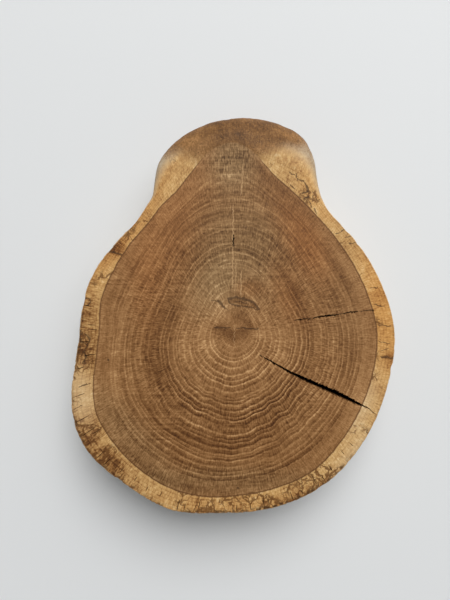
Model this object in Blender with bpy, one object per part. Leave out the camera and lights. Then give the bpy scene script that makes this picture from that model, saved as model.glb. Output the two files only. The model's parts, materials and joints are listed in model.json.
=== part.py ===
"""A slice of oak trunk, sawn flat above and below, with a rounded lobe where a limb began.

It is one solid. Lengths are in metres and +Z is up. The slice lies on its lower sawn face at Z = 0, the
middle of its box is over the origin, and +Y runs along it from the broad end to the lobe. The growth
rings are centred on the pith, which is off the middle, so every outline is drawn round the pith.
"""

import math

import bmesh
import bpy
from mathutils import Vector

MM = 0.001

# Driving dimensions.
THICKNESS = 40 * MM
EDGE_WEAR = 1.2 * MM  # radius of the worn arris round both sawn faces
SHOULDER_RISE = 0.9  # height of the rolled shoulder over its width
LOBE_TUCK = 4 * MM  # how far the lobe's foot draws in under its widest line
LOBE_SHOULDER = 20 * MM  # a shoulder this wide has the lobe's full tuck
BODY_TUCK = 1 * MM  # the same as LOBE_TUCK, round the broad end
WALL_SWELL = 0.8 * MM  # depth of the slow waves down the side, where the bark was

# The outline, once round the pith: degrees from +X towards +Y, the widest radius in millimetres, and how
# far inside it the flat top ends. That is only the worn arris, except where the lobe's shoulder rolls down.
OUTLINE = (
    (0, 95.5, 1.2),
    (20, 92.2, 1.2),
    (40, 90.8, 1.2),
    (50, 91.4, 1.2),
    (56, 94.8, 2),
    (61, 104, 7.5),
    (66, 120.5, 18.5),
    (71, 132.5, 29),
    (80, 137.2, 30.5),
    (90, 134.5, 21),
    (100, 130.5, 20),
    (109, 123, 18.5),
    (115, 113.5, 14.5),
    (120, 98.5, 4.5),
    (125, 92.6, 1.2),
    (131, 89.8, 1.2),
    (140, 89.2, 1.2),
    (160, 92.4, 1.2),
    (180, 93.2, 1.2),
    (190, 97, 1.2),
    (200, 104.2, 1.2),
    (210, 110.6, 1.2),
    (220, 113, 1.2),
    (235, 111.6, 1.2),
    (250, 112.4, 1.2),
    (265, 108, 1.2),
    (280, 107, 1.2),
    (300, 105.2, 1.2),
    (320, 100.6, 1.2),
    (340, 96.6, 1.2),
)

# Drying checks, open at the top: millimetres from the pith, degrees, and width in millimetres.
MAIN_CHECK = (
    (20, 319.6, 0),
    (27, 322.3, 0.6),
    (36, 324, 1),
    (52, 327.1, 2.1),
    (68, 329.3, 2.9),
    (80, 330, 2.8),
    (88, 330.3, 1.7),
    (94, 330.8, 0),
)
MAIN_CHECK_DEPTH = 28 * MM
FINE_CHECK = (
    (38, 12.3, 0),
    (46, 11.2, 0.7),
    (54, 11, 0.9),
    (62, 10.3, 1.1),
    (72, 10.4, 0.8),
    (82, 9.7, 0),
)
FINE_CHECK_DEPTH = 9 * MM
CUTTER_STAND = 2 * MM  # how far a cutter stands above the top face

COLUMNS = 144
WEAR_STEPS = 2
WALL_STEPS = 5
SHOULDER_STEPS = 8

HEARTWOOD = (0.24, 0.12, 0.047, 1)
ROUGHNESS = 0.62


def clear_scene():
    for obj in list(bpy.data.objects):
        bpy.data.objects.remove(obj, do_unlink=True)


def outline_at(degrees):
    """(widest radius, shoulder width) at any angle, in metres, on smooth closed curves through OUTLINE."""
    count = len(OUTLINE)
    turn = degrees % 360
    after = next((i for i in range(count) if OUTLINE[i][0] > turn), count)

    def knot(index):
        angle, widest, shoulder = OUTLINE[index % count]
        return angle + 360 * (index // count), Vector((widest, shoulder)) * MM

    before_last, last, following, beyond = (knot(after + step) for step in (-2, -1, 0, 1))
    span = following[0] - last[0]
    t = (turn - last[0]) / span
    slope_in = (following[1] - before_last[1]) / (following[0] - before_last[0]) * span
    slope_out = (beyond[1] - last[1]) / (beyond[0] - last[0]) * span
    return (
        (2 * t**3 - 3 * t**2 + 1) * last[1]
        + (t**3 - 2 * t**2 + t) * slope_in
        + (3 * t**2 - 2 * t**3) * following[1]
        + (t**3 - t**2) * slope_out
    )


def around_pith(radius, degrees, height):
    turn = math.radians(degrees)
    return Vector((radius * math.cos(turn), radius * math.sin(turn), height))


def side_profile(degrees):
    """The slice's side at one angle, as (radius, height) from the lower sawn face up to the top one."""
    widest, shoulder = outline_at(degrees)
    shoulder = max(shoulder, EDGE_WEAR)
    rise = EDGE_WEAR + SHOULDER_RISE * (shoulder - EDGE_WEAR)
    lobe = min((shoulder - EDGE_WEAR) / LOBE_SHOULDER, 1)
    tuck = BODY_TUCK + (LOBE_TUCK - BODY_TUCK) * lobe
    wall_top = THICKNESS - rise
    turn = math.radians(degrees)

    def wall(height):
        drop = 1 - height / wall_top
        wave = math.sin(3 * turn + 60 * height) + 0.6 * math.sin(7 * turn - 90 * height)
        return widest - tuck * drop**2 - WALL_SWELL * drop * (0.8 + 0.5 * wave)

    profile = []
    for step in range(WEAR_STEPS):
        lean = math.pi / 2 * step / WEAR_STEPS
        profile.append((wall(EDGE_WEAR) - EDGE_WEAR * (1 - math.sin(lean)), EDGE_WEAR * (1 - math.cos(lean))))
    for step in range(WALL_STEPS):
        height = EDGE_WEAR + (wall_top - EDGE_WEAR) * step / WALL_STEPS
        profile.append((wall(height), height))
    for step in range(SHOULDER_STEPS + 1):
        lean = math.pi / 2 * step / SHOULDER_STEPS
        profile.append((widest - shoulder * (1 - math.cos(lean)), wall_top + rise * math.sin(lean)))
    return profile


def slice_mesh():
    """The whole slice round the pith: one column of points for each angle, and a flat face at each end."""
    mesh = bmesh.new()
    columns = []
    for column in range(COLUMNS):
        degrees = 360 * column / COLUMNS
        columns.append([mesh.verts.new(around_pith(r, degrees, z)) for r, z in side_profile(degrees)])
    for column, near in enumerate(columns):
        far = columns[(column + 1) % COLUMNS]
        for step in range(len(near) - 1):
            mesh.faces.new((near[step], far[step], far[step + 1], near[step + 1]))
    mesh.faces.new([column[-1] for column in columns])
    mesh.faces.new([column[0] for column in reversed(columns)])
    return mesh


def check_mesh(stations, depth):
    """A drying check as a keel-shaped wedge: widest at the top face, and closing to a line below it."""
    mesh = bmesh.new()
    widest = max(width for _, _, width in stations)
    above = THICKNESS + CUTTER_STAND
    sides = []
    for radius, degrees, width in stations[1:-1]:
        across = around_pith(1, degrees + 90, 0)
        keel_depth = depth * math.sqrt(width / widest)
        half = width * MM / 2 * (keel_depth + CUTTER_STAND) / keel_depth
        middle = around_pith(radius * MM, degrees, above)
        keel = around_pith(radius * MM, degrees, THICKNESS - keel_depth)
        sides.append([mesh.verts.new(p) for p in (middle + across * half, middle - across * half, keel)])
    tips = [mesh.verts.new(around_pith(r * MM, degrees, above)) for r, degrees, _ in (stations[0], stations[-1])]
    for near, far in zip(sides, sides[1:]):
        for corner in range(3):
            other = (corner + 1) % 3
            mesh.faces.new((near[corner], near[other], far[other], far[corner]))
    for tip, end in zip(tips, (sides[0], sides[-1])):
        for corner in range(3):
            mesh.faces.new((tip, end[corner], end[(corner + 1) % 3]))
    bmesh.ops.recalc_face_normals(mesh, faces=mesh.faces)
    return mesh


def add_object(name, mesh, offset):
    bmesh.ops.translate(mesh, verts=mesh.verts, vec=offset)
    data = bpy.data.meshes.new(name)
    mesh.to_mesh(data)
    mesh.free()
    obj = bpy.data.objects.new(name, data)
    bpy.context.scene.collection.objects.link(obj)
    return obj


def oak_material():
    material = bpy.data.materials.new("oak")
    material.use_nodes = True
    shader = material.node_tree.nodes["Principled BSDF"]
    shader.inputs["Base Color"].default_value = HEARTWOOD
    shader.inputs["Roughness"].default_value = ROUGHNESS
    shader.inputs["Metallic"].default_value = 0
    return material


def to_box_middle(mesh):
    """The move that brings the middle of the mesh's box over the origin."""
    low = [min(v.co[axis] for v in mesh.verts) for axis in range(2)]
    high = [max(v.co[axis] for v in mesh.verts) for axis in range(2)]
    return Vector((-(low[0] + high[0]) / 2, -(low[1] + high[1]) / 2, 0))


def main():
    clear_scene()
    body = slice_mesh()
    offset = to_box_middle(body)
    oak = add_object("oak_slice", body, offset)
    oak.data.materials.append(oak_material())
    oak.data.shade_smooth()
    oak.data.set_sharp_from_angle(angle=math.radians(40))
    checks = (("main_check", MAIN_CHECK, MAIN_CHECK_DEPTH), ("fine_check", FINE_CHECK, FINE_CHECK_DEPTH))
    for name, stations, depth in checks:
        cutter = add_object(name, check_mesh(stations, depth), offset)
        cutter.hide_render = True
        cutter.display_type = "WIRE"
        cut = oak.modifiers.new(name, "BOOLEAN")
        cut.operation = "DIFFERENCE"
        cut.solver = "EXACT"
        cut.object = cutter


main()
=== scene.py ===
"""The oak slice as it looks: rings, sapwood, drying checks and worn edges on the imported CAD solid.

The mesh is made of loops of points round the pith. Lengths are in millimetres and angles in radians until
the mesh is written; the tables give angles in degrees from +X towards +Y.
"""

import json
import math
from functools import partial
from types import SimpleNamespace

import bpy
import numpy as np
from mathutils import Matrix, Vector, noise


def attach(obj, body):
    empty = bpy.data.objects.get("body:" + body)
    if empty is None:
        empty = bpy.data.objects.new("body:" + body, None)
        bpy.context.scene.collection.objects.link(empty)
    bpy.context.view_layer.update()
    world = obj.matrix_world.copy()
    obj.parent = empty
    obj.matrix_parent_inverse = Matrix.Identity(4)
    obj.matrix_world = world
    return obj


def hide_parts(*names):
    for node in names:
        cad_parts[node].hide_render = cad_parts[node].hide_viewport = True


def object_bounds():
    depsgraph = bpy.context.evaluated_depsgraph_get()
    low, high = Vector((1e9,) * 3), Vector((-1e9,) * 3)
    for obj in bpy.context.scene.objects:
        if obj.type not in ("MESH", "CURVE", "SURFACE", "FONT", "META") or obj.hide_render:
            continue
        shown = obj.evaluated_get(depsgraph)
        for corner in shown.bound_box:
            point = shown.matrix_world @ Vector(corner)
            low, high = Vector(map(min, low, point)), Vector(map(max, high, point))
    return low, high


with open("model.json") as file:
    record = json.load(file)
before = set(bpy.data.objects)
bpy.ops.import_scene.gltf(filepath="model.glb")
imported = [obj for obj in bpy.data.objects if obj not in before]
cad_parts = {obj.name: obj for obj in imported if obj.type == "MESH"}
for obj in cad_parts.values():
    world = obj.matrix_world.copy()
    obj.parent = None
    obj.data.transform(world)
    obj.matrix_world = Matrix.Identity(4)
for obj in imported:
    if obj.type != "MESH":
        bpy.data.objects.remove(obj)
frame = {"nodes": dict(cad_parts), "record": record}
CAD_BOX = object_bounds()

MM = 0.001
NODE = "oak_slice"
PIECE = "oak_slice_wood"
TURN = 2 * math.pi
PITH = Vector(next(m["pos_m"] for m in frame["record"]["mounts"] if m["name"] == "top_at_pith"))
THICKNESS = (CAD_BOX[1].z - CAD_BOX[0].z) / MM

# ---------------------------------------------------------------- the side, read from the frame

CAD_COLUMNS = 144  # the CAD solid has a column of points at each 2.5 degrees round the pith
CAD_LEVELS = 16  # and this many points in each column, from the foot to the flat top
ON_COLUMN = 0.01  # a point this near a column, in steps between columns, is on it
INNERMOST_SIDE = 80  # every point of the side is further from the pith than this
FOOT_TOP, WALL_TOP, FLAT_TOP = 2, 7, 15  # levels where the foot's worn edge, the wall and the shoulder end


def cad_columns():
    """(columns, levels, 2) radius and height of the CAD side."""
    points = np.array([v.co for v in frame["nodes"][NODE].data.vertices])
    points = (points - [PITH.x, PITH.y, 0]) / MM
    radius = np.hypot(points[:, 0], points[:, 1])
    step = np.degrees(np.arctan2(points[:, 1], points[:, 0])) % 360 * CAD_COLUMNS / 360
    nearest = np.round(step)
    on_column = (np.abs(step - nearest) < ON_COLUMN) & (radius > INNERMOST_SIDE)
    whole = {}
    for column in range(CAD_COLUMNS):
        mine = on_column & (nearest.astype(int) % CAD_COLUMNS == column)
        by_height = {}
        for r, z in zip(radius[mine], points[mine, 2]):
            key = round(float(z), 3)
            by_height[key] = max(by_height.get(key, 0), float(r))
        if len(by_height) == CAD_LEVELS:
            whole[column] = [(r, z) for z, r in sorted(by_height.items())]
    # The solid leaves out a point that lies on a straight line, so such a column comes from its neighbours.
    known = sorted(whole)
    values = np.array([whole[column] for column in known]).reshape(len(known), -1)
    every = range(CAD_COLUMNS)
    filled = [np.interp(every, known, values[:, k], period=CAD_COLUMNS) for k in range(values.shape[1])]
    return np.array(filled).T.reshape(CAD_COLUMNS, CAD_LEVELS, 2)


def cubic(before, start, end, after, t):
    """Smooth curve from start to end that leaves and arrives along its neighbours (Catmull-Rom)."""
    return start + t / 2 * (
        end - before
        + t * (2 * before - 5 * start + 4 * end - after + t * (3 * (start - end) + after - before))
    )


def side_at(angles, level):
    """(radius, height) of the CAD side at these angles, and at a level that needn't be whole."""
    place = angles / TURN * CAD_COLUMNS
    first = np.floor(place).astype(int)
    t = (place - first)[:, None]

    def ring(index):
        row = COLUMNS[:, index]
        return cubic(*(row[(first + k) % CAD_COLUMNS] for k in (-1, 0, 1, 2)), t)

    whole = min(int(level), CAD_LEVELS - 2)
    low, high = ring(whole), ring(whole + 1)
    before = 2 * low - high if whole in (0, FOOT_TOP, WALL_TOP) else ring(whole - 1)
    after = 2 * high - low if whole + 1 in (FOOT_TOP, WALL_TOP, FLAT_TOP) else ring(whole + 2)
    return cubic(before, low, high, after, level - whole).T


def foot_edge(angles):
    """Radius of the underside."""
    return side_at(angles, 0)[0]


def flat_edge(angles):
    """Radius where the flat top ends."""
    return side_at(angles, FLAT_TOP)[0]


COLUMNS = cad_columns()

# ---------------------------------------------------------------- growth rings

# Edge of the heartwood on the top face, as (degrees, millimetres).
HEART_OUTLINE = (
    (0, 84.6), (15, 82.4), (30, 81.6), (45, 82.8), (56, 85.5), (63, 88.4), (69, 91.8), (76, 97),
    (81, 103.4), (86, 110.5), (91, 113.6), (95, 111.8), (100, 106.6), (105, 99.6), (112, 92),
    (120, 87.8), (128, 83.8), (140, 82.2), (152, 81.6), (165, 82.2), (180, 81.2), (190, 84),
    (200, 90), (210, 95.4), (220, 97.2), (235, 99), (247, 100), (260, 98.8), (272, 96.4),
    (285, 95.2), (300, 94), (315, 90), (330, 87), (345, 85.4),
)
SAPWOOD = 10.5  # width of the sapwood on the underside
LEAST_SAPWOOD = 1.2  # room kept for the mesh where the heartwood meets the lobe's shoulder
RINGS = 29  # rings inside the outermost band of the heartwood
RINGS_END = 0.905  # the share of the heartwood's radius that they fill
BAND_RINGS, SAP_RINGS = 3, 5  # and in that band, and in the sapwood
SOFT_HARMONICS = 4  # inner rings follow the heartwood's outline with only this many waves in it
SOFT_SAMPLES = 720
ROUND_UNTIL = 0.22  # rings outside this share of the heartwood's radius are no longer round
SHARP_FROM = 0.7  # and from here on they take up its whole outline
# The rings' waves, as shares of the radius: everywhere, and more at (degrees, reach in degrees, depth).
LEAST_BUMP = 0.01
BUMPS = ((285, 75, 0.03), (215, 50, 0.01))
SLOW_WAVES = 0.022


def outline(table, angles):
    """A closed polar outline at these angles, on a smooth curve through the table's points."""
    knots = np.radians([row[0] for row in table])
    values = np.array([row[1] for row in table], float)
    knots = np.concatenate([knots[-2:] - TURN, knots, knots[:2] + TURN])
    values = np.concatenate([values[-2:], values, values[:2]])
    slopes = np.gradient(values, knots)
    angles = angles % TURN
    first = np.clip(np.searchsorted(knots, angles, side="right") - 1, 1, len(table) + 1)
    span = knots[first + 1] - knots[first]
    t = (angles - knots[first]) / span
    return (
        (2 * t**3 - 3 * t**2 + 1) * values[first]
        + (t**3 - 2 * t**2 + t) * span * slopes[first]
        + (3 * t**2 - 2 * t**3) * values[first + 1]
        + (t**3 - t**2) * span * slopes[first + 1]
    )


def softened(edge, angles):
    """The outline edge(angle) with only its slowest waves kept."""
    even = np.linspace(0, TURN, SOFT_SAMPLES, endpoint=False)
    waves = np.fft.rfft(edge(even))
    waves[SOFT_HARMONICS + 1:] = 0
    return np.interp(angles, even, np.fft.irfft(waves, len(even)), period=TURN)


def smoothstep(low, high, value):
    t = np.clip((value - low) / (high - low), 0, 1)
    return t * t * (3 - 2 * t)


def wander(points, scale, seed):
    """Smooth noise from -1 to 1 at each row of points, with features about scale across."""
    shift = Vector((seed * 7.31, seed * 3.17, seed * 5.53))
    return np.array([noise.noise(Vector(p) / scale + shift) for p in points.tolist()])


def flat(radius, angles, height=0.0):
    """Points at this radius and these angles round the pith."""
    return np.stack([radius * np.cos(angles), radius * np.sin(angles), height + 0 * angles], 1)


def ring_share(number):
    """The share of the heartwood's radius where a ring number lies; the rings aren't equally wide."""
    uneven = 0.22 * np.sin(1.7 * number) + 0.25 * np.sin(0.63 * number + 1) - 0.21
    return RINGS_END * (number + uneven * np.minimum(number, 1)) / RINGS


def near(angles, middle, width):
    """1 at an angle in degrees, falling to 0 at width degrees from it."""
    away = np.abs((np.degrees(angles) - middle + 180) % 360 - 180)
    return 1 - smoothstep(0, width, away)


def ring_radius(share, angles, edge):
    """Radius of the ring at this share of the heartwood: round at the pith, the outline's shape at 1."""
    soft = softened(edge, angles)
    rounding = 1 - smoothstep(0, ROUND_UNTIL, share)
    sharp = smoothstep(SHARP_FROM, 1, share)
    shape = (1 - sharp) * ((1 - rounding) * soft + rounding * soft.mean()) + sharp * edge(angles)
    bumpy = LEAST_BUMP + sum(depth * near(angles, middle, reach) for middle, reach, depth in BUMPS)
    circle = flat(7.0 + 0 * angles, angles, 3.2 * share)
    slow = flat(1.6 + 0 * angles, angles, 4.0 * share)
    calm = 1 - smoothstep(0.6, 0.93, share)
    waves = bumpy * wander(circle, 1, 3) * calm + SLOW_WAVES * wander(slow, 1, 4) * (1 - sharp)
    return share * shape * (1 + waves * smoothstep(0.05, 0.3, share))


def heart_edge(angles):
    """Edge of the heartwood on the top face."""
    return np.minimum(outline(HEART_OUTLINE, angles), flat_edge(angles) - LEAST_SAPWOOD)


def lower_heart_edge(angles):
    """Edge of the heartwood on the underside."""
    return foot_edge(angles) - SAPWOOD + 1.2 * np.sin(3 * angles)


# ---------------------------------------------------------------- drying checks

# Each check: its middle line as (millimetres from the pith, degrees, width in millimetres), and its depth.
CHECKS = (
    (((20, 319.6, 0.1), (27, 322.3, 0.6), (36, 324, 0.9), (52, 327.1, 1.8), (68, 329.3, 2.4),
      (78, 330, 2.1), (85, 330.3, 1.0), (91, 330.7, 0.35), (99, 329.6, 0.12)), 26),
    (((36, 12.6, 0.1), (41, 12, 0.4), (46, 11.2, 0.15), (51, 11.1, 0.6), (57, 10.7, 0.8), (61, 10.3, 0.6),
      (64, 10.5, 0.15), (70, 10.4, 0.6), (75, 10.1, 0.15), (80, 9.8, 0.45), (84, 9.7, 0.1)), 8),
    (((51, 91.4, 0.1), (54, 91.2, 0.7), (57, 91, 0.5), (59, 91.2, 0.1)), 2),
)
ACROSS_CHECK = np.array((-1.5, -1, -0.8, -0.45, 0, 0.45, 0.8, 1, 1.5))  # mesh points, in half widths
PIN_ROUNDS = 4  # a check's line and a loop's radius are matched in this many rounds
CLEAR_OF_CHECK, CLEAR_OF_RAY_CHECK = 1.7, 1.3  # half widths that are kept free of the even mesh points
RAY_CHECKS = 32  # small cracks that run out through the sapwood
RAY_CHECK_WIDTH = 0.5
RAY_CHECK_DEPTH = 0.9
RAY_CHECKS_FROM, RAY_CHECKS_SPAN = 168, 150  # degrees: the broad end and its lower corners


def check_line(stations, radius):
    """(angle, half width) of a check at these radii; the half width is 0 beyond its ends."""
    reach, degrees, width = np.array(stations, float).T
    ragged = 0.13 * np.sin(2.9 * radius) + 0.1 * np.sin(6.1 * radius + 1)
    turn = np.radians(np.interp(radius, reach, degrees)) + ragged / np.maximum(radius, 1)
    half = np.interp(radius, reach, width) / 2 * (1 + 0.15 * np.sin(4.3 * radius))
    return turn, half * (radius > reach[0]) * (radius < reach[-1])


def ray_check_angles():
    """(angle, inner end, outer end) of the sapwood's small cracks, the ends as shares of the sapwood."""
    spread = np.random.default_rng(12)
    share = (np.arange(RAY_CHECKS) + spread.uniform(0.1, 0.9, RAY_CHECKS)) / RAY_CHECKS
    angles = np.radians(RAY_CHECKS_FROM + RAY_CHECKS_SPAN * share)
    inner = spread.uniform(0, 0.6, RAY_CHECKS)
    return angles, inner, np.minimum(inner + spread.uniform(0.25, 0.8, RAY_CHECKS), 0.97)


RAY_ANGLES, RAY_INNER, RAY_OUTER = ray_check_angles()


def signed_gap(angles, middle):
    """How far these angles are past middle, from minus half a turn to half a turn."""
    return (angles - middle + math.pi) % TURN - math.pi


def check_depth(radius, angles, sap):
    """Depth of the drying checks under each point; sap runs from 0 to 1 across the sapwood."""
    depth = np.zeros(len(angles))
    for stations, deepest in CHECKS:
        turn, half = check_line(stations, radius)
        widest = max(width for _, _, width in stations) / 2
        share = np.abs(signed_gap(angles, turn)) * radius / np.maximum(half, 1e-6)
        profile = np.sqrt(np.clip(1 - share**2, 0, 1)) * (half > 0)
        depth = np.maximum(depth, deepest * np.sqrt(half / widest) * profile)
    for middle, inner, outer in zip(RAY_ANGLES, RAY_INNER, RAY_OUTER):
        along = np.clip((sap - inner) * (outer - sap) * 4 / (outer - inner) ** 2, 0, 1)
        share = np.abs(signed_gap(angles, middle)) * radius / (RAY_CHECK_WIDTH / 2)
        depth = np.maximum(depth, RAY_CHECK_DEPTH * np.sqrt(along) * np.clip(1 - share, 0, 1))
    return depth


def with_pins(angles, radius_at, in_sapwood):
    """These angles with the mesh points that each check needs in place of the even ones."""
    pins = []
    cleared = np.ones(len(angles), bool)
    for stations, _ in CHECKS:
        turn = np.radians([stations[len(stations) // 2][1]])
        for _ in range(PIN_ROUNDS):
            turn, half = check_line(stations, radius_at(turn))
        if half[0] > 0:
            reach = half[0] / radius_at(turn)[0]
            pins.append(turn[0] + ACROSS_CHECK * reach)
            cleared &= np.abs(signed_gap(angles, turn[0])) > CLEAR_OF_CHECK * reach
    if in_sapwood:
        reach = RAY_CHECK_WIDTH / 2 / radius_at(RAY_ANGLES)
        for middle, half in zip(RAY_ANGLES, reach):
            pins.append(middle + np.array((-1, 0, 1)) * half)
            cleared &= np.abs(signed_gap(angles, middle)) > CLEAR_OF_RAY_CHECK * half
    return np.sort(np.concatenate([angles[cleared], *pins]) % TURN)


# ---------------------------------------------------------------- the mesh

PER_RING = 5  # loops of mesh points to each ring
BAND_LOOPS, SAP_LOOPS = 8, 14
POINT_SPACING = 1.25  # between mesh points along a ring
UNDER_LOOPS, UNDER_SPACING = 44, 1.9
UNDER_REACH = 1.12  # the underside's loops count on past the heartwood's edge, at 1, to the foot, here
MEAN_RADIUS, UNDER_MEAN_RADIUS = 92, 95  # for working out how many points a loop needs
LEAST_POINTS, UNDER_LEAST_POINTS = 20, 24
LEAST_SHARE = 0.012  # a ring inside this share of the radius is left to the point at the pith
RING_SAMPLES = 400
SIDE_POINTS = 600
SIDE_DRIFT = 0.01  # how fast the points of the side's loops shift from one loop to the next
FOOT_STEPS, WALL_STEPS, SHOULDER_STEPS = 2, 5, 2  # loops for each level of the CAD side
WALL_FADE = 3  # the marks of the wall fade out over this many levels below the flat top
SANDED_OFF, UNEVEN_OFF = 0.02, 0.03  # how far the sanded face lies under the CAD's flat top
GROOVE_DEPTH, GROOVE_PLACE, GROOVE_WIDTH = 0.05, 0.1, 0.16  # the last two as shares of a ring
UNSANDED_RIM = 0.4  # there is no such relief this near the edge of the face
SHARP_ANGLE = math.radians(50)
SHADE_FROM, SHADE_TO = 0.25, 1.2  # painted shade: the walls of a check darken towards black between these depths
FIELDS = ("ring", "outside", "rim", "side", "height")
# The fields of the points at the pith: well inside the heartwood, and far from the rim.
AT_PITH = {"ring": 0, "outside": -80, "rim": 90, "side": 0}


class Skin:
    """A closed skin of loops round the pith. Each loop is stitched to the one before it by angle."""

    def __init__(self):
        self.points = []
        self.faces = []
        self.fields = {name: [] for name in FIELDS}
        self.count = 0
        self.last = None

    def cap(self, **fields):
        """The point at the pith that the first or last loop closes to."""
        self.points.append(np.array([[0, 0, fields["height"]]]))
        for name in FIELDS:
            self.fields[name].append(np.array([fields[name]]))
        centre = self.count
        self.count += 1
        if self.last:
            angles, start = self.last
            size = len(angles)
            self.faces += [(start + k, start + (k + 1) % size, centre) for k in range(size)]
        else:
            self.last = None, centre

    def loop(self, angles, points, **fields):
        start = self.count
        self.points.append(points)
        for name in FIELDS:
            self.fields[name].append(np.broadcast_to(fields[name], len(angles)))
        self.count += len(angles)
        if self.last and self.last[0] is None:
            size = len(angles)
            self.faces += [(start + (k + 1) % size, start + k, self.last[1]) for k in range(size)]
        elif self.last:
            self.stitch(*self.last, angles, start)
        self.last = angles, start

    def stitch(self, inner, inner_start, outer, outer_start):
        """Triangles between two loops, which take up the points of both in order of angle."""
        a, b = inner.tolist(), outer.tolist()
        i = j = 0
        while i < len(a) or j < len(b):
            next_a = a[(i + 1) % len(a)] + TURN * ((i + 1) // len(a)) if i < len(a) else math.inf
            next_b = b[(j + 1) % len(b)] + TURN * ((j + 1) // len(b)) if j < len(b) else math.inf
            here, there = inner_start + i % len(a), outer_start + j % len(b)
            if next_a < next_b:
                self.faces.append((here, inner_start + (i + 1) % len(a), there))
                i += 1
            else:
                self.faces.append((here, outer_start + (j + 1) % len(b), there))
                j += 1


def even_angles(count, seed):
    """count angles once round, shaken a little so that no seam of mesh edges lines up between loops."""
    return (np.arange(count) + 0.3 + 0.4 * math.sin(seed * 2.4) ** 2) * TURN / count


def underside_loops(skin):
    """From the pith out to the foot."""
    skin.cap(height=0, **AT_PITH)
    numbers = np.linspace(0, RINGS, RING_SAMPLES)
    shares = ring_share(numbers)
    for step in range(1, UNDER_LOOPS):
        share = step / UNDER_LOOPS * UNDER_REACH
        count = max(UNDER_LEAST_POINTS, int(TURN * UNDER_MEAN_RADIUS * share / UNDER_SPACING))
        angles = even_angles(count, step)
        heart = lower_heart_edge(angles)
        if share <= 1:
            radius = ring_radius(share, angles, lower_heart_edge)
        else:
            radius = heart + (share - 1) / (UNDER_REACH - 1) * (foot_edge(angles) - heart)
        band = RINGS + (share - RINGS_END) / (1 - RINGS_END) * BAND_RINGS
        number = np.interp(share, shares, numbers) if share < RINGS_END else band
        skin.loop(
            angles,
            flat(radius, angles),
            ring=number,
            outside=radius - heart,
            rim=foot_edge(angles) - radius,
            side=0,
            height=0,
        )


def side_loops(skin):
    """From the foot up to the flat top's edge."""
    levels = [k / FOOT_STEPS for k in range(FOOT_TOP * FOOT_STEPS)]
    levels += [FOOT_TOP + k / WALL_STEPS for k in range((WALL_TOP - FOOT_TOP) * WALL_STEPS)]
    levels += [WALL_TOP + k / SHOULDER_STEPS for k in range((FLAT_TOP - WALL_TOP) * SHOULDER_STEPS + 1)]
    for index, level in enumerate(levels):
        angles = even_angles(SIDE_POINTS, index * SIDE_DRIFT)
        radius, height = side_at(angles, level)
        wall = float(smoothstep(0, FOOT_TOP, level) * (1 - smoothstep(FLAT_TOP - WALL_FADE, FLAT_TOP, level)))
        heart = heart_edge(angles) if level > WALL_TOP else side_at(angles, FOOT_TOP)[0] - SAPWOOD
        skin.loop(
            angles,
            flat(radius, angles, height),
            ring=RINGS + BAND_RINGS + SAP_RINGS,
            outside=radius - heart,
            rim=0,
            side=wall,
            height=height,
        )


def loop_radius(share, sap, angles):
    """Radius of a loop of the top: a ring of the heartwood, or sap of the way across the sapwood."""
    if sap is None:
        return ring_radius(share, angles, heart_edge)
    return heart_edge(angles) * (1 - sap) + flat_edge(angles) * sap


def top_loops(skin):
    """From the flat top's edge inwards to the pith."""
    loops = []
    for step in range(1, RINGS * PER_RING + 1):
        number = step / PER_RING
        share = float(ring_share(number))
        loops.append((number, share, None))
    for step in range(1, BAND_LOOPS + 1):
        part = step / BAND_LOOPS
        loops.append((RINGS + BAND_RINGS * part, RINGS_END + (1 - RINGS_END) * part, None))
    for step in range(1, SAP_LOOPS):
        part = step / SAP_LOOPS
        loops.append((RINGS + BAND_RINGS + SAP_RINGS * part, 1, part))
    for index, (number, share, sap) in reversed(list(enumerate(loops))):
        if share < LEAST_SHARE:
            continue
        radius_at = partial(loop_radius, share, sap)
        count = max(LEAST_POINTS, int(TURN * MEAN_RADIUS * share / POINT_SPACING))
        angles = with_pins(even_angles(count, index), radius_at, sap is not None)
        radius = radius_at(angles)
        rim = flat_edge(angles) - radius
        depth = check_depth(radius, angles, 0 if sap is None else sap)
        relief = face_relief(number, radius, angles) * (rim > UNSANDED_RIM)
        height = THICKNESS - np.maximum(depth, relief)
        skin.loop(
            angles,
            flat(radius, angles, height),
            ring=number,
            outside=radius - outline(HEART_OUTLINE, angles),
            rim=rim,
            side=0,
            height=height,
        )
    skin.cap(height=THICKNESS, **AT_PITH)


def face_relief(number, radius, angles):
    """How far the sanded face lies under the flat: the early wood of each ring is a shallow groove."""
    past = (number % 1 - GROOVE_PLACE) / GROOVE_WIDTH
    groove = np.exp(-(past**2)) + np.exp(-((past - 1 / GROOVE_WIDTH) ** 2))
    uneven = wander(flat(radius, angles), 9, 6)
    return SANDED_OFF + (GROOVE_DEPTH * groove * (number < RINGS) + UNEVEN_OFF) * (1 + 0.6 * uneven)


def build_slice():
    """The closed skin, its points, and the fields of each point."""
    skin = Skin()
    underside_loops(skin)
    side_loops(skin)
    top_loops(skin)
    points = np.concatenate(skin.points)
    fields = {name: np.concatenate(values) for name, values in skin.fields.items()}
    points = roughen_side(points, fields)
    return skin, points, fields


# Where the top edge is chipped: (degrees, reach in degrees, depth in millimetres).
CHIPPED = (
    (222, 50, 0.55), (262, 40, 0.45), (300, 30, 0.4), (190, 24, 0.35),
    (60, 22, 0.3), (345, 25, 0.25), (145, 30, 0.3),
)
CHIP_REACH = 2.6  # how far chips eat into the face and down the side
UPPER_HALF = 20  # chips are only above this height
FINE_FLUTES, BROAD_FLUTES, PITS, HOLLOWS = 0.13, 0.12, 0.5, 0.9  # depths on the side
ARRIS = 1.2  # height of the worn arris over the wall


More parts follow.
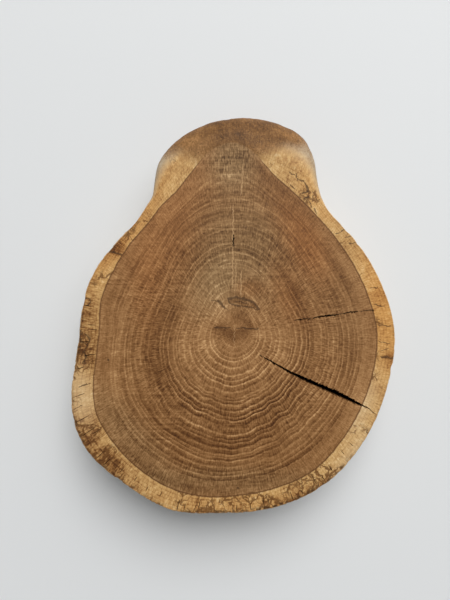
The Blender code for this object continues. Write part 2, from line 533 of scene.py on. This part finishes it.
def roughen_side(points, fields):
    """Flutes and worn hollows down the side and chips along the top edge, all cut into the wood."""
    x, y, z = points.T
    radius = np.hypot(x, y)
    angles = np.arctan2(y, x)
    long_grain = points * [1, 1, 0.12]
    flutes = FINE_FLUTES * (1 + wander(long_grain, 2.6, 8)) + BROAD_FLUTES * (1 + wander(long_grain, 9, 9))
    pits = PITS * np.clip(wander(points * [1, 1, 0.4], 3.5, 10) - 0.35, 0, 1)
    worn = HOLLOWS * np.clip(wander(points, 6, 11) - 0.1, 0, 1)
    chipped = sum(depth * near(angles, middle, reach) for middle, reach, depth in CHIPPED)
    from_edge = np.where(fields["rim"] > 0, fields["rim"], np.maximum(THICKNESS - z - ARRIS, 0))
    chips = np.clip(wander(points * [1, 1, 0.3], 2.4, 12) + 0.5 * wander(points, 1.2, 13) - 0.05, 0, 1)
    chips *= chipped * (1 - smoothstep(0, CHIP_REACH, from_edge)) * (fields["height"] > UPPER_HALF)
    scale = 1 - (fields["side"] * (flutes + pits + worn) + chips) / np.maximum(radius, 1)
    return np.stack([x * scale, y * scale, z - chips], 1)


# ---------------------------------------------------------------- where the wood's colour changes

# Soft patches on the top face: (x, y, half length, half width, turn in degrees, strength).
PATCHES = {
    "grey": (
        (4, 50, 32, 27, 90, 0.8), (-14, 27, 20, 13, 60, 0.6), (-1, 103, 19, 15, 90, 1.0),
        (64, 16, 36, 13, 100, 0.15), (-64, -62, 44, 13, 130, 0.5), (-4, -88, 58, 9, 0, 0.5),
    ),
    "red": (
        (40, 56, 28, 12, 120, 0.9), (-42, 62, 20, 40, -20, 0.6), (30, 26, 20, 8, 110, 0.5),
        (9, 27, 9, 5, 0, 0.6), (-52, 20, 10, 30, 0, 0.3),
    ),
    "dark": (
        (-5.5, 0.8, 8, 3.4, -32, 0.7), (6, 1.2, 8.5, 3.2, 28, 0.65), (0, -1.5, 4, 4.5, 0, 0.5),
        (8, 6, 7, 3, -15, 0.45), (-9, 4.6, 5, 2.2, 10, 0.35), (-10, -60, 50, 32, 0, 0.3),
        (24, 84, 26, 7, 140, 0.5), (19, 78, 15, 9, 120, 0.6), (4, 27, 13, 7, 0, 0.6),
        (3, 10, 7, 5, 0, 0.5), (-63, -68, 28, 12, 125, 0.55), (10, 121, 24, 9, -8, 0.7),
        (-2, 128, 40, 4, 0, 0.4), (12, 66, 30, 6, 160, 0.35), (-50, 8, 12, 36, 0, 0.3),
        (62, 14, 34, 9, 100, 0.6), (5, 17.6, 9, 2.6, -10, 0.7), (-1, 103, 16, 10, 90, 0.5),
        (42, 58, 22, 16, 120, 0.4),
    ),
    "pale": (
        (-28, 14, 26, 13, 70, 0.5), (44, -20, 26, 20, 0, 0.4), (0, 34, 22, 10, 0, 0.25),
        (40, -12, 14, 10, 0, 0.5), (73, -42, 20, 9, 65, 1.0), (74, -72, 20, 8, 48, 0.9),
        (-92, -37, 17, 9, 100, 0.9), (-10, 11, 9, 6, 40, 0.7), (14, 72.6, 4, 3, 0, 1.0),
    ),
    "spalt": (
        (4, -104, 54, 13, 0, 1.0), (48, -88, 24, 10, 27, 1.0), (-86, -66, 38, 13, 125, 0.8),
        (-93, -4, 18, 8, 95, 1.0), (43, 83, 9, 3, 124, 0.3), (84, -60, 10, 7, 55, 0.5),
        (-66, 66, 10, 12, 0, 0.4),
    ),
    "gold": (
        (92, 24, 56, 18, 95, 1.0), (-70, 66, 46, 16, 55, 0.9), (0, -104, 50, 14, 0, 0.35),
        (50, 80, 20, 9, 120, 0.5),
    ),
    "stain": (
        (-70, 53, 7, 6, 40, 1.0), (-90, -12, 9, 5, 95, 0.5), (-96, -60, 34, 6, 115, 0.6),
        (-60, -98, 24, 5, 155, 0.3), (50, -92, 24, 5, 30, 0.6), (92, -14, 5, 3, 0, 0.5),
        (-88, 6, 34, 10, 95, 0.8), (-67, -82, 17, 7, 137, 0.65), (-88, -60, 20, 8, 105, 0.5),
        (-79, -74, 26, 9, 125, 0.4), (30, -99, 14, 4, 15, 0.5),
    ),
}


def patches(table, points):
    """How strongly each point is inside a table's soft patches, from 0 to 1."""
    total = np.zeros(len(points))
    for x, y, length, width, turn, strength in table:
        c, s = math.cos(math.radians(turn)), math.sin(math.radians(turn))
        dx, dy = points[:, 0] - x, points[:, 1] - y
        along, across = (dx * c + dy * s) / length, (dy * c - dx * s) / width
        total += strength * np.exp(-((along**2 + across**2) ** 1.5))
    return np.clip(total, 0, 1)


# Lower border of the brown heartwood on the lobe, as (x, y).
BROWN_BORDER = (
    (-52, 112), (-45, 110), (-35, 108), (-22, 103), (0, 98), (12, 102), (23, 108), (31, 111), (42, 112),
    (50, 115),
)


def lobe_brown(points):
    """Where the lobe shows heartwood, which is everywhere but its two flanks and its foot."""
    wobble = 2.2 * wander(points, 6, 14) + 2 * wander(points, 15, 15)
    x, y = zip(*BROWN_BORDER)
    softness = 5.5 + 8 * smoothstep(38, 24, points[:, 2])
    return smoothstep(-softness, softness, points[:, 1] - np.interp(points[:, 0], x, y) + wobble)


def add_fields(mesh, points, fields):
    """What the material reads at each point: where it lies in the slice, and which patches it is in."""
    values = dict(fields)
    for name, table in PATCHES.items():
        values[name] = patches(table, points)
    values["brown"] = lobe_brown(points)
    on_top = (fields["side"] == 0) & (fields["height"] > 1)
    # Painted shade: the top face goes towards black with depth inside the checks.
    values["crack_shade"] = np.where(on_top, smoothstep(SHADE_FROM, SHADE_TO, THICKNESS - points[:, 2]), 0)
    for name, value in values.items():
        mesh.attributes.new(name, "FLOAT", "POINT").data.foreach_set("value", value.astype(np.float32))


def slice_object():
    skin, points, fields = build_slice()
    mesh = bpy.data.meshes.new(PIECE)
    placed = points * MM + [PITH.x, PITH.y, 0]
    mesh.from_pydata(placed.tolist(), [], skin.faces)
    add_fields(mesh, points, fields)
    mesh.shade_smooth()
    mesh.set_sharp_from_angle(angle=SHARP_ANGLE)
    mesh.update()
    piece = bpy.data.objects.new(PIECE, mesh)
    bpy.context.scene.collection.objects.link(piece)
    return piece


# ---------------------------------------------------------------- oak, as shader nodes


def srgb(red, green, blue):
    """A shader colour from the 0 to 255 scale of a screen."""
    return (*(((c / 255 + 0.055) / 1.055) ** 2.4 for c in (red, green, blue)), 1)


HEARTWOOD = ((0, srgb(68, 36, 13)), (0.25, srgb(103, 65, 30)), (0.5, srgb(139, 97, 56)),
             (0.75, srgb(170, 126, 80)), (1, srgb(206, 162, 112)))
GREYED = ((0, srgb(68, 46, 25)), (0.25, srgb(102, 77, 47)), (0.5, srgb(136, 109, 72)),
          (0.75, srgb(164, 135, 95)), (1, srgb(196, 166, 124)))
SAPWOOD_COLOURS = ((0, srgb(82, 47, 20)), (0.25, srgb(136, 92, 48)), (0.5, srgb(182, 138, 84)),
                   (0.75, srgb(208, 167, 108)), (1, srgb(230, 199, 148)))
WALL_COLOURS = ((0, srgb(104, 76, 48)), (0.25, srgb(146, 117, 84)), (0.5, srgb(172, 151, 123)),
                (0.75, srgb(193, 174, 146)), (1, srgb(218, 203, 178)))
SLOPE_COLOURS = ((0, srgb(82, 52, 22)), (0.25, srgb(112, 76, 38)), (0.5, srgb(141, 100, 56)),
                 (0.75, srgb(167, 124, 77)), (1, srgb(192, 150, 103)))
# The crack colour is painted shade: the near-black that the checks' walls take on with depth.
STAIN, ZONE_LINE, CRACK_SHADE, HEART_EDGE = srgb(62, 40, 22), srgb(102, 64, 28), srgb(20, 8, 4), srgb(84, 50, 24)
PALE_MARK, BLEACHED, FLANK = srgb(196, 156, 110), srgb(212, 184, 148), srgb(206, 176, 132)
RED_TINT, GOLD_TINT = srgb(255, 222, 186), srgb(255, 228, 186)

# How pale the heartwood is from the pith (0) to its edge (1).
AGE_TONES = ((0, 0.5), (0.07, 0.54), (0.18, 0.6), (0.3, 0.57), (0.42, 0.52), (0.55, 0.42),
             (0.66, 0.5), (0.8, 0.51), (0.91, 0.48), (1, 0.48))

# Fine marks on the face as strokes: (x, y) to (x, y), and half width, all in millimetres.
DARK_STROKES = (
    ((-12, 3.5), (-6, 3.2), 0.6), ((-6, 3.2), (-2.5, 3.4), 0.35), ((1, 3.4), (6, 2.9), 0.45),
    ((6, 2.9), (14, 2.7), 0.5), ((-4, 20.8), (0.6, 21.4), 1.0), ((0.6, 21.4), (5.6, 20.4), 1.05),
    ((5.6, 20.4), (11, 18.2), 1.0), ((11, 18.2), (14, 14.4), 0.8), ((-4, 20.4), (-3.2, 18), 0.6),
    ((-3, 17.6), (3, 16.2), 0.45), ((4, 16), (9, 15.2), 0.5), ((9, 15.2), (13.4, 14), 0.45),
    ((0, 18.8), (7, 18), 0.35), ((-9.8, 19.6), (-6.4, 15.6), 0.8), ((-13.5, 19.6), (-9, 18.8), 0.4),
    ((-8, 16.2), (-4, 13.6), 0.4), ((-75.6, -15.7), (-75.2, -15.5), 0.7),
    ((1.6, -91.8), (2, -91.6), 0.8),
)
PALE_STROKES = (
    ((-1.2, 76), (-1.6, 27), 0.34), ((3.7, 37), (3.5, 23), 0.34), ((0.4, 44), (0.2, 25), 0.26),
    ((4.6, 99), (4.6, 91), 0.34), ((4.4, 91), (3.2, 82), 0.28), ((-0.3, 5), (-0.3, -7), 0.14),
)
SAP_STROKES = (
    ((-77, 49.6), (-66, 46.2), 0.8), ((87, -14), (93.5, -14.8), 0.8),
    ((-90.5, 21.5), (-86.5, 20.6), 0.55), ((-86.5, 20.6), (-85.8, 18.6), 0.45),
    ((-85.8, 18.6), (-88.6, 16.2), 0.5), ((32, 96), (35, 94), 0.35), ((36, 95), (37, 91), 0.4),
    ((38, 91), (41, 90), 0.5), ((41.5, 89), (43.5, 85), 0.75), ((43, 84.5), (40.5, 83), 0.65),
    ((41, 80), (44, 81), 0.6), ((43.5, 79), (45.5, 75), 0.4), ((-89, -0.5), (-86.2, -3.4), 0.5),
    ((-86.2, -3.4), (-87.6, -7.4), 0.55), ((-90.6, -5.4), (-87.6, -7.4), 0.4),
    ((-87.6, -7.4), (-90, -10.8), 0.5), ((-90, -10.8), (-88.2, -14), 0.5),
    ((-91.4, -13), (-90, -10.8), 0.35), ((-88.2, -14), (-90.4, -18), 0.5),
    ((-93, -32), (-88, -30), 0.3), ((60, 59), (64.5, 61.5), 0.35), ((65.5, 57), (70.5, 58.6), 0.35),
    ((68, 53.6), (71.5, 54), 0.3), ((84.5, 5), (92.4, 4.4), 0.3), ((80.5, 27), (84.5, 27.6), 0.28),
    ((85.5, -5), (91.5, -6), 0.28), ((82.5, 17), (88.5, 16), 0.28), ((86.5, -10), (91, -9.2), 0.3),
    ((33, 88), (35.5, 86), 0.3), ((47, 74), (48.5, 71), 0.35), ((-97, -46), (-91, -43), 0.3),
)


MIX_LOW, MIX_HIGH, MIX_RESULT = 6, 7, 2  # a Mix node's colour sockets, whose names aren't unique


class Graph:
    """Shader nodes of one material or world, made and joined up by calling what they compute."""

    def __init__(self, owner):
        self.tree = owner.node_tree

    def node(self, kind, settings=(), **inputs):
        made = self.tree.nodes.new(kind)
        for name, value in dict(settings).items():
            setattr(made, name, value)
        for name, value in inputs.items():
            self.put(made.inputs[name.replace("_", " ")], value)
        return made

    def put(self, socket, value):
        if isinstance(value, bpy.types.NodeSocket):
            self.tree.links.new(value, socket)
        else:
            socket.default_value = value

    def calc(self, operation, *values):
        """A Math node. None of them clamps: Cycles leaves clamps to the end, and its stack is small."""
        made = self.node("ShaderNodeMath", {"operation": operation})
        for socket, value in zip(made.inputs, values):
            self.put(socket, value)
        return made.outputs[0]

    def vector(self, operation, *values, scale=None):
        made = self.node("ShaderNodeVectorMath", {"operation": operation})
        for socket, value in zip(made.inputs, values):
            self.put(socket, value)
        if scale is not None:
            self.put(made.inputs["Scale"], scale)
        return made.outputs["Value" if operation in ("LENGTH", "DISTANCE", "DOT_PRODUCT") else "Vector"]

    def add(self, *values):
        total = values[0]
        for value in values[1:]:
            total = self.calc("ADD", total, value)
        return total

    def times(self, *values):
        total = values[0]
        for value in values[1:]:
            total = self.calc("MULTIPLY", total, value)
        return total

    def weigh(self, base, *parts):
        """base with each (value, weight) added to it."""
        return self.add(base, *(self.times(value, weight) for value, weight in parts))

    def fade(self, value, low, high):
        """0 up to low and 1 from high, smooth between. It falls where low is above high."""
        falling = isinstance(low, (int, float)) and low > high
        made = self.node("ShaderNodeMapRange", {"interpolation_type": "SMOOTHSTEP", "clamp": False})
        self.put(made.inputs["Value"], value)
        self.put(made.inputs["From Min"], high if falling else low)
        self.put(made.inputs["From Max"], low if falling else high)
        self.put(made.inputs["To Min"], 1.0 if falling else 0.0)
        self.put(made.inputs["To Max"], 0.0 if falling else 1.0)
        return made.outputs[0]

    def line(self, value, middle, half):
        """1 where value is at middle, falling to 0 at half from it."""
        away = self.calc("ABSOLUTE", self.calc("SUBTRACT", value, middle))
        return self.fade(away, half, 0)

    def field(self, name):
        return self.node("ShaderNodeAttribute", {"attribute_name": name}).outputs["Fac"]

    def cloud(self, where, scale, detail=2.0, roughness=0.5):
        made = self.node("ShaderNodeTexNoise", Vector=where, Scale=scale, Detail=detail, Roughness=roughness)
        return made.outputs["Fac"]

    def swing(self, where, scale, detail=2.0, roughness=0.5):
        """The same noise about 0."""
        return self.calc("SUBTRACT", self.cloud(where, scale, detail, roughness), 0.5)

    def drift(self, where, scale):
        """Noise about 0 in each direction."""
        made = self.node("ShaderNodeTexNoise", Vector=where, Scale=scale, Detail=3)
        return self.vector("SUBTRACT", made.outputs["Color"], (0.5, 0.5, 0.5))

    def fan(self, direction, count, outwards):
        """Noise round the pith: count features to a radian, and one for each unit of outwards."""
        upright = self.node("ShaderNodeCombineXYZ", Z=outwards).outputs[0]
        return self.cloud(self.vector("ADD", self.vector("SCALE", direction, scale=count), upright), 1.0)

    def mix(self, factor, low, high, blend="MIX"):
        made = self.node("ShaderNodeMix", {"data_type": "RGBA", "blend_type": blend}, Factor=factor)
        self.put(made.inputs[MIX_LOW], low)
        self.put(made.inputs[MIX_HIGH], high)
        return made.outputs[MIX_RESULT]

    def tinted(self, factor, colour, tint):
        """The colour, multiplied by the tint as far as factor says."""
        return self.mix(factor, colour, self.mix(1.0, colour, tint, "MULTIPLY"))

    def ramp(self, value, stops):
        made = self.tree.nodes.new("ShaderNodeValToRGB")
        elements = made.color_ramp.elements
        while len(elements) < len(stops):
            elements.new(0.5)
        for element, (place, colour) in zip(elements, stops):
            element.position = place
            element.color = colour if isinstance(colour, tuple) else (colour, colour, colour, 1)
        self.put(made.inputs[0], value)
        return made.outputs[0]

    def stroke(self, where, start, end, half):
        """1 along a straight stroke on the face, with soft edges."""
        start, end = Vector((*start, 0)), Vector((*end, 0))
        run = end - start
        from_start = self.vector("SUBTRACT", where, start)
        share = self.calc("DIVIDE", self.vector("DOT_PRODUCT", from_start, run), run.length_squared)
        along = self.calc("MAXIMUM", self.calc("MINIMUM", share, 1.0), 0.0)
        gap = self.vector("DISTANCE", from_start, self.vector("SCALE", run, scale=along))
        return self.fade(gap, half * 1.3, half * 0.4)

    def strokes(self, where, table):
        total = 0
        for start, end, half in table:
            total = self.calc("MAXIMUM", total, self.stroke(where, start, end, half))
        return total


def slice_place(g):
    """Where a point is: millimetres from the pith, the direction from it, and the same shaken a little."""
    place = g.node("ShaderNodeTexCoord").outputs["Object"]
    here = g.vector("SCALE", g.vector("SUBTRACT", place, (PITH.x, PITH.y, 0)), scale=1 / MM)
    on_face = g.vector("MULTIPLY", here, (1, 1, 0))
    height = g.field("height")
    warp = g.vector("SCALE", g.drift(here, 0.14), scale=13.0)
    shake = g.vector("SCALE", g.drift(here, 0.45), scale=2.6)
    wobble = g.vector("ADD", g.vector("SCALE", warp, scale=0.07), shake)
    return SimpleNamespace(
        here=here,
        radius=g.vector("LENGTH", on_face),
        direction=g.vector("NORMALIZE", on_face),
        side=g.field("side"),
        height=height,
        top=g.fade(height, 30, 38),
        warp=warp,
        wavering=g.vector("ADD", on_face, g.vector("MULTIPLY", wobble, (1, 1, 0))),
    )


def growth_rings(g, at):
    """The lines of the years: each year ends in a dark line, and the next begins with a pale one."""
    ripple = g.swing(at.here, 0.3, 3)
    ring = g.weigh(g.field("ring"), (ripple, 0.45))
    part = g.calc("FRACT", ring)
    year = g.node("ShaderNodeTexWhiteNoise", {"noise_dimensions": "1D"}, W=g.calc("FLOOR", ring))
    pale_year, dark_year, _ = g.node("ShaderNodeSeparateColor", Color=year.outputs["Color"]).outputs
    fading = g.fade(g.cloud(at.here, 0.05), 0.3, 0.62)
    low_side = g.fade(g.vector("DOT_PRODUCT", at.direction, (0.3, -1, 0)), 0.1, 1.0)
    clearness = g.times(g.weigh(0.45, (fading, 0.55)), g.fade(ring, 0.5, 6))
    in_rings = g.calc("LESS_THAN", ring, RINGS + 0.1)
    pale_line = g.times(
        g.line(part, 0.17, 0.2),
        g.weigh(0.3, (pale_year, 0.9)),
        clearness,
        in_rings,
        g.weigh(0.6, (low_side, 0.4)),
    )
    dark_line = g.times(
        g.line(part, 0.86, 0.34),
        g.weigh(0.3, (dark_year, 0.7)),
        clearness,
        in_rings,
        g.weigh(0.4, (g.fade(ring, 3, 16), 0.6)),
        g.weigh(0.32, (low_side, 0.68)),
        g.weigh(0.45, (g.fade(ring, RINGS + 1, RINGS - 6), 0.55)),
    )
    return SimpleNamespace(
        ripple=ripple,
        ring=ring,
        part=part,
        low_side=low_side,
        pale_line=pale_line,
        dark_line=dark_line,
        minor_line=g.times(g.line(part, 0.56, 0.14), dark_year, clearness, in_rings),
        first_band=g.times(g.line(ring, RINGS - 0.1, 0.24), low_side, fading),
        hatch=g.calc("SUBTRACT", g.fan(at.direction, 14.0, g.times(ring, 3.2)), 0.5),
        arcs=g.calc("SUBTRACT", g.fan(at.direction, 1.3, g.times(ring, 0.55)), 0.5),
    )


def radial(g, at, count, along):
    """Noise that runs outwards: count features to a radian, and along features to a millimetre."""
    return g.fan(at.direction, count, g.times(at.radius, along))


def fine_marks(g, at):
    """Pores, grain, blotches, sanding marks, and dashes across the rings as wide far out as at the pith."""
    near_pith = g.fade(at.radius, 46, 30)
    far_out = g.fade(at.radius, 58, 80)
    between = g.calc("SUBTRACT", g.calc("SUBTRACT", 1.0, near_pith), far_out)
    dashes = g.weigh(
        g.times(radial(g, at, 36.0, 0.35), near_pith),
        (radial(g, at, 78.0, 0.35), between),
        (radial(g, at, 140.0, 0.35), far_out),
    )
    scratches = g.swing(g.vector("MULTIPLY", at.here, (0.02, 0.8, 0)), 1.0, 2, 0.6)
    return SimpleNamespace(
        far_out=far_out,
        dashes=g.add(dashes, -0.5),
        pores=g.swing(at.here, 1.0, 2, 0.6),
        grain=g.swing(at.here, 0.4, 4, 0.6),
        blotches=g.swing(at.here, 0.07, 3, 0.55),
        sanding=g.times(scratches, g.fade(g.cloud(at.here, 0.035), 0.4, 0.62)),
    )


def heartwood(g, at, years, marks):
    """Colour of the heartwood, with the marks at the pith."""
    dash_weight = g.add(0.95, g.times(marks.far_out, -0.35), g.times(g.field("grey"), marks.far_out, 0.7))
    outer_left = g.times(g.fade(years.ring, RINGS - 6, RINGS), g.calc("SUBTRACT", 1.0, years.low_side))
    tone = g.weigh(
        g.ramp(g.calc("DIVIDE", years.ring, RINGS + BAND_RINGS), AGE_TONES),
        (years.pale_line, 0.34),
        (years.dark_line, -0.36),
        (years.minor_line, -0.16),
        (years.first_band, -0.09),
        (years.arcs, 0.55),
        (g.line(radial(g, at, 46.0, 0.02), 0.5, 0.02), 0.12),
        (marks.dashes, dash_weight),
        (years.hatch, 0.4),
        (marks.pores, 0.4),
        (marks.grain, 0.3),
        (marks.blotches, 0.3),
        (marks.sanding, 0.6),
        (g.field("dark"), -0.2),
        (g.field("pale"), 0.12),
        (outer_left, 0.1),
    )
    colour = g.ramp(tone, HEARTWOOD)
    colour = g.mix(g.times(g.field("grey"), 0.6), colour, g.ramp(tone, GREYED))
    colour = g.tinted(g.times(g.field("red"), 0.6), colour, RED_TINT)
    colour = g.mix(g.times(g.strokes(at.wavering, PALE_STROKES), at.top, 0.7), colour, PALE_MARK)
    return g.mix(g.times(g.strokes(at.wavering, DARK_STROKES), at.top, 0.7), colour, STAIN)


def zone_lines(g, at, spalt):
    """The thin dark lines of the first rot: the walls of warped cells, and a few loops."""
    cells = g.node(
        "ShaderNodeTexVoronoi",
        {"feature": "DISTANCE_TO_EDGE"},
        Vector=g.vector("ADD", at.here, at.warp),
        Scale=0.124,
    )
    loops = g.line(g.cloud(at.here, 0.1), 0.52, 0.02)
    patchy = g.fade(g.weigh(g.cloud(at.here, 0.08), (spalt, 0.22)), 0.56, 0.66)
    return g.times(g.calc("MAXIMUM", g.fade(cells.outputs["Distance"], 0.095, 0.035), loops), patchy)


def sapwood(g, at, years, marks):
    """(colour, zone lines) of the sapwood, with the lines and stains of the first rot."""
    spalt, stain = g.field("spalt"), g.field("stain")
    zone_line = zone_lines(g, at, spalt)
    mottle = g.times(
        g.fade(g.cloud(at.here, 0.3, 4, 0.6), 0.5, 0.66),
        g.weigh(0.06, (spalt, 0.35), (stain, 0.3)),
    )
    flames = g.times(
        g.fade(radial(g, at, 34.0, 0.12), 0.48, 0.62),
        g.weigh(0.08, (stain, 0.4), (spalt, 0.3)),
    )
    rays = g.line(radial(g, at, 75.0, 0.05), 0.5, 0.014)
    rim_spots = g.times(
        g.fade(g.field("rim"), 2.6, 0.3),
        g.fade(g.weigh(g.cloud(at.here, 0.4, 3), (spalt, 0.06)), 0.5, 0.62),
        g.fade(at.height, 35, 39),
        g.weigh(0.2, (spalt, 0.9)),
    )
    tone = g.weigh(
        0.68,
        (marks.blotches, 0.7),
        (marks.dashes, 0.8),
        (marks.grain, 0.6),
        (marks.pores, 0.4),
        (g.times(g.line(years.part, 0.9, 0.3), g.add(0.3, years.arcs)), -0.4),
        (g.times(rays, g.weigh(0.1, (spalt, 0.2))), -1.0),
        (mottle, -0.3),
        (flames, -0.34),
        (stain, -0.34),
        (spalt, 0.04),
        (g.field("pale"), 0.12),
    )
    colour = g.ramp(tone, SAPWOOD_COLOURS)
    colour = g.mix(g.times(g.field("pale"), 0.35), colour, BLEACHED)
    colour = g.tinted(g.times(g.field("gold"), 0.8), colour, GOLD_TINT)
    colour = g.mix(g.times(zone_line, 0.8), colour, ZONE_LINE)
    colour = g.mix(g.times(rim_spots, 0.7), colour, STAIN)
    return g.mix(g.times(g.strokes(at.wavering, SAP_STROKES), at.top, 0.75), colour, STAIN), zone_line


def bark_side(g, at, marks):
    """(wall, slope, fibres): the grey wall that the bark left, the lobe's brown with painted shade lower
    down, and the long fibres.
    """
    fibres = g.cloud(g.vector("MULTIPLY", at.here, (0.9, 0.9, 0.07)), 1.0, 4, 0.6)
    streaks = g.swing(g.vector("MULTIPLY", at.here, (0.16, 0.16, 0.03)), 1.0, 3, 0.55)
    checks = g.line(g.cloud(g.vector("MULTIPLY", at.here, (0.11, 0.11, 0.012)), 1.0, 3), 0.5, 0.006)
    wall_tone = g.weigh(
        0.5,
        (g.calc("SUBTRACT", fibres, 0.5), 0.8),
        (streaks, 0.5),
        (marks.pores, 0.3),
        (checks, -0.5),
    )
    slope_tone = g.weigh(
        wall_tone,
        (marks.dashes, 0.6),
        (marks.blotches, 0.6),
        (g.field("dark"), -0.3),
        # Painted shade: the lobe's slope darkens further down, towards its outer edge.
        (g.fade(at.height, 36, 16), -0.12),
    )
    return g.ramp(wall_tone, WALL_COLOURS), g.ramp(g.add(slope_tone, -0.07), SLOPE_COLOURS), fibres


def oak_material():
    material = bpy.data.materials.new("oak")
    material.use_nodes = True
    g = Graph(material)
    shader = g.tree.nodes["Principled BSDF"]
    at = slice_place(g)
    years = growth_rings(g, at)
    marks = fine_marks(g, at)
    heart = heartwood(g, at, years, marks)
    sap, zone_line = sapwood(g, at, years, marks)
    wall, slope, fibres = bark_side(g, at, marks)

    # Sawn face: heartwood up to its dark edge, then sapwood, or the lobe's brown.
    brown = g.field("brown")
    outside = g.weigh(g.field("outside"), (years.ripple, 0.9))
    soft = g.times(brown, 0.8)
    in_sapwood = g.fade(outside, g.calc("SUBTRACT", -0.25, soft), g.add(0.2, soft))
    face = g.mix(in_sapwood, heart, g.mix(brown, sap, slope))
    edge_strength = g.calc("SUBTRACT", 0.72, g.times(brown, 0.72))
    face = g.mix(g.times(g.line(outside, -0.3, 0.75), edge_strength), face, HEART_EDGE)
    flank = g.mix(g.fade(at.height, 35.5, 39.9), wall, g.mix(0.5, sap, FLANK))
    colour = g.mix(g.fade(at.side, 0.05, 0.9), face, g.mix(brown, flank, slope))
    # Painted shade inside the checks, darker with depth.
    colour = g.mix(g.field("crack_shade"), colour, CRACK_SHADE)

    # Surface.
    roughness = g.weigh(0.6, (marks.pores, 0.3), (marks.grain, 0.2), (at.side, 0.06))
    relief = g.weigh(
        g.times(marks.pores, 0.5),
        (marks.dashes, 0.4),
        (years.pale_line, -0.3),
        (zone_line, -0.4),
        (g.times(fibres, at.side), 1.2),
    )
    bump = g.node("ShaderNodeBump", Strength=0.5, Distance=0.35 * MM, Height=relief)
    g.put(shader.inputs["Base Color"], colour)
    g.put(shader.inputs["Roughness"], roughness)
    g.put(shader.inputs["Normal"], bump.outputs[0])
    shader.inputs["Specular IOR Level"].default_value = 0.2
    return material


# ---------------------------------------------------------------- floor, light and camera

FLOOR_RADIUS = 4.0  # metres
FLOOR_POINTS = 96
FLOOR_COLOUR = (0.79, 0.8, 0.8, 1)
SKY_LEVEL, SKY_ABOVE = (0.64, 0.65, 0.66, 1), (0.16, 0.165, 0.17, 1)
SOFTBOX_SIZE, SOFTBOX_POWER, SOFTBOX_PLACE = 1.4, 9, (0.4, 0.8, 0.95)
DAYLIGHT_POWER, DAYLIGHT_SPREAD, DAYLIGHT_FROM = 1.96, math.radians(40), (0.2, 0.97, 1)
LENS, SENSOR = 26, 36  # millimetres
CAMERA_FROM_PITH = Vector((-0.006, 0.0198, 0.2575))  # metres


def pale_floor():
    mesh = bpy.data.meshes.new("floor")
    turns = [TURN * k / FLOOR_POINTS for k in range(FLOOR_POINTS)]
    rim = [(FLOOR_RADIUS * math.cos(turn), FLOOR_RADIUS * math.sin(turn), 0) for turn in turns]
    mesh.from_pydata(rim, [], [range(FLOOR_POINTS)])
    floor = bpy.data.objects.new("floor", mesh)
    bpy.context.scene.collection.objects.link(floor)
    material = bpy.data.materials.new("floor")
    material.use_nodes = True
    shader = material.node_tree.nodes["Principled BSDF"]
    shader.inputs["Base Color"].default_value = FLOOR_COLOUR
    shader.inputs["Roughness"].default_value = 0.9
    shader.inputs["Specular IOR Level"].default_value = 0.1
    mesh.materials.append(material)


def sky():
    """A plain background, bright at the horizon and dim above."""
    world = bpy.data.worlds.new("studio")
    world.use_nodes = True
    g = Graph(world)
    towards = g.node("ShaderNodeTexCoord").outputs["Generated"]
    up = g.node("ShaderNodeSeparateXYZ", Vector=towards).outputs["Z"]
    background = g.tree.nodes["Background"]
    g.put(background.inputs["Color"], g.mix(g.fade(up, 0.0, 0.5), SKY_LEVEL, SKY_ABOVE))
    bpy.context.scene.world = world


def add_lamp(data, source):
    """The lamp, turned so that it shines from the direction of source to the middle of the slice."""
    lamp = bpy.data.objects.new(data.name, data)
    lamp.rotation_euler = Vector(source).to_track_quat("Z", "Y").to_euler()
    bpy.context.scene.collection.objects.link(lamp)
    return lamp


def soft_light():
    softbox = bpy.data.lights.new("softbox", "AREA")
    softbox.shape = "SQUARE"
    softbox.size = SOFTBOX_SIZE
    softbox.energy = SOFTBOX_POWER
    add_lamp(softbox, SOFTBOX_PLACE).location = SOFTBOX_PLACE
    daylight = bpy.data.lights.new("daylight", "SUN")
    daylight.energy = DAYLIGHT_POWER
    daylight.angle = DAYLIGHT_SPREAD
    add_lamp(daylight, DAYLIGHT_FROM)


def camera_above():
    data = bpy.data.cameras.new("camera")
    data.lens = LENS
    data.sensor_width = SENSOR
    camera = bpy.data.objects.new("camera", data)
    camera.location = PITH + CAMERA_FROM_PITH
    bpy.context.scene.collection.objects.link(camera)
    bpy.context.scene.camera = camera


piece = slice_object()
piece.data.materials.append(oak_material())
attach(piece, "root")
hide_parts(NODE)
pale_floor()
sky()
soft_light()
camera_above()
bpy.context.scene.view_settings.view_transform = "Standard"
